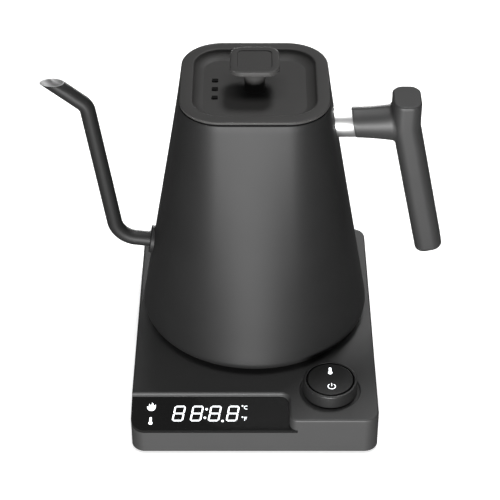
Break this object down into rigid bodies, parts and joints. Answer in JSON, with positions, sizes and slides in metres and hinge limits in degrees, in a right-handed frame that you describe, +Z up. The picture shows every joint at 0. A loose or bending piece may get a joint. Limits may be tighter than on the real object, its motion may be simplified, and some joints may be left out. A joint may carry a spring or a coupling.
{
  "type": "gooseneck kettle",
  "caption": "Electric gooseneck kettle with a tapered vessel, lift-off lid, slim bent spout and straight handle, on a rectangular power base with a display and a dial.",
  "frame": {"origin": "on the table, under the vertical axis of the kettle and its coupler", "axes": "+X from the spout to the handle, +Y from the display to the back of the base, +Z up"},
  "size_m": [0.2444, 0.1935, 0.2107],
  "materials": {
    "coated_steel": "matt black coating",
    "black_plastic": "fine matt grain",
    "satin_plastic": "satin black",
    "gloss_panel": "polished black window",
    "polished_steel": "bright turned steel",
    "bare_steel": "satin steel",
    "diffuser_aluminium": "plain",
    "contact_brass": "plain",
    "screw_steel": "zinc plated",
    "foot_rubber": "matt",
    "seal_silicone": "translucent grey silicone",
    "board": "green solder mask",
    "component_plastic": "moulded component cases",
    "relay_blue": "relay case",
    "transformer_yellow": "tape-wound transformer",
    "lead_insulation": "insulated leads",
    "terminal_white": "terminal block"
  },
  "bodies": {
    "base": {"base_housing": "coated_steel", "base_bottom": "black_plastic", "base_screws": "screw_steel", "foot_strip": "foot_rubber", "display_window": "gloss_panel", "display_module": "component_plastic", "control_board": "board", "board_screws": "screw_steel", "power_relay": "relay_blue", "supply_transformer": "transformer_yellow", "encoder_gate": "component_plastic", "power_switch": "component_plastic", "dial_bush": "black_plastic", "base_connector": "black_plastic", "cord_gland": "black_plastic", "cord_clamp": "black_plastic", "clamp_screws": "screw_steel", "terminal_block": "terminal_white", "supply_leads": "lead_insulation"},
    "connector": {"connector_spigot": "black_plastic", "spigot_contacts": "contact_brass"},
    "kettle": {"kettle_body": "coated_steel", "heater_plate": "bare_steel", "heat_diffuser": "diffuser_aluminium", "heating_element": "bare_steel", "thermistor_probe": "bare_steel", "probe_seal": "seal_silicone", "thermal_cutout": "component_plastic", "bottom_cover": "black_plastic", "cover_studs": "bare_steel", "bottom_cover_screws": "screw_steel", "kettle_socket": "black_plastic", "socket_contacts": "contact_brass", "spout_tube": "coated_steel", "spout_flange": "coated_steel", "handle_ferrule": "polished_steel", "handle_grip": "satin_plastic", "handle_insert": "contact_brass", "handle_bolt": "bare_steel", "handle_seal": "seal_silicone"},
    "lid": {"lid_cover": "satin_plastic", "lid_knob": "satin_plastic", "lid_knob_screw": "screw_steel", "lid_gasket": "seal_silicone", "lid_inner_plate": "bare_steel", "lid_screws": "screw_steel"},
    "dial": {"dial_ring": "satin_plastic", "encoder_wheel": "component_plastic"},
    "button": {"dial_button": "satin_plastic"}
  },
  "joints": [
    {"name": "kettle_swivel", "type": "hinge", "parent": "base", "child": "connector", "pos_m": [0, 0, 0.029], "axis": [0, 0, 1], "continuous": true},
    {"name": "kettle_lift", "type": "slide", "parent": "connector", "child": "kettle", "axis": [0, 0, 1], "range_m": [0, 0.08]},
    {"name": "lid_lift", "type": "slide", "parent": "kettle", "child": "lid", "axis": [0, 0, 1], "range_m": [0, 0.06]},
    {"name": "dial_turn", "type": "hinge", "parent": "base", "child": "dial", "pos_m": [0.0461, -0.0844, 0.03], "axis": [0, 0, 1], "continuous": true},
    {"name": "button_press", "type": "slide", "parent": "base", "child": "button", "axis": [0, 0, -1], "range_m": [0, 0.001], "stiffness_N_per_m": 1200}
  ]
}
